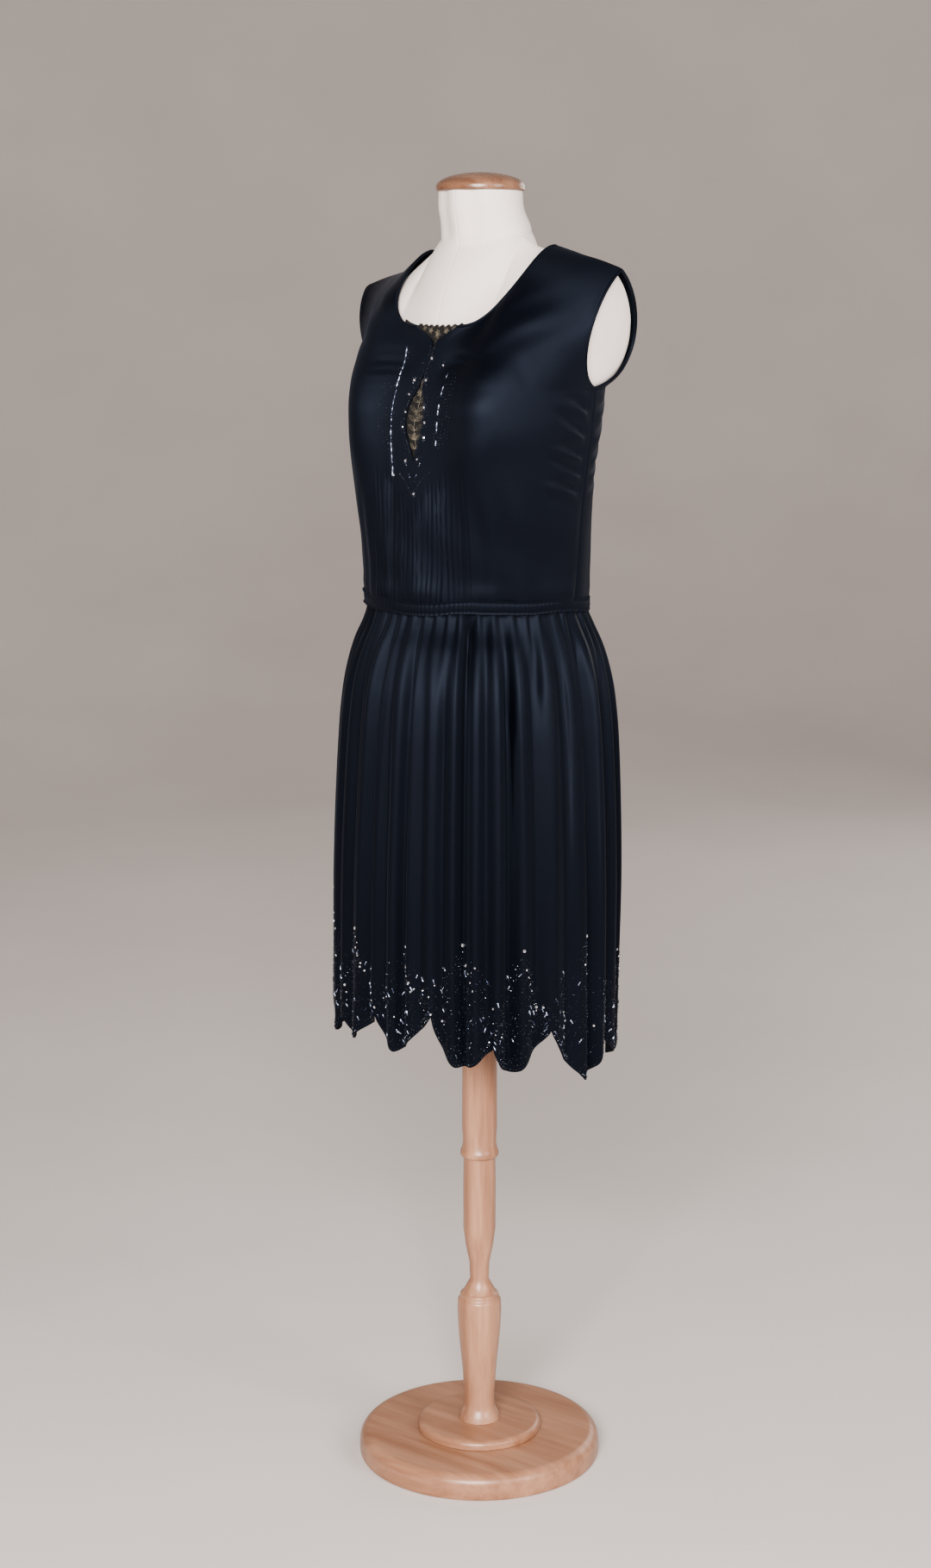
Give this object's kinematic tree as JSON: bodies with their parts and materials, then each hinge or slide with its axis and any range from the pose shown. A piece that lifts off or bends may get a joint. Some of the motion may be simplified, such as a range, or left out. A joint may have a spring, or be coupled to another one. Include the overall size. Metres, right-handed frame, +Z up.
{
  "type": "evening dress on dress form",
  "caption": "Sleeveless drop-waist evening dress with a net-filled slit, a gathered skirt and a petal hem, worn by a limbless padded form on a turned wooden stand.",
  "frame": {"origin": "centre of the underside of the round base, on the floor", "axes": "+Z up along the stand; the dress faces -Y and the wearer's left is +X"},
  "size_m": [0.4057, 0.3448, 1.6599],
  "materials": {
    "satin": "dark blue satin",
    "net": "dull metallic net over a dark lining",
    "linen": "plain woven cotton",
    "beech": "satin varnish",
    "cap_wood": "satin varnish"
  },
  "bodies": {
    "root": {"bodice_front": "satin", "bodice_back": "satin", "front_insert": "net", "neck_binding": "satin", "armhole_binding_left": "satin", "armhole_binding_right": "satin", "waist_band": "satin", "skirt_front": "satin", "skirt_back": "satin", "form_torso": "linen", "form_cap": "cap_wood", "stand_base": "beech", "stand_boss": "beech", "stand_foot": "beech", "stand_sleeve": "beech"}
  },
  "joints": []
}
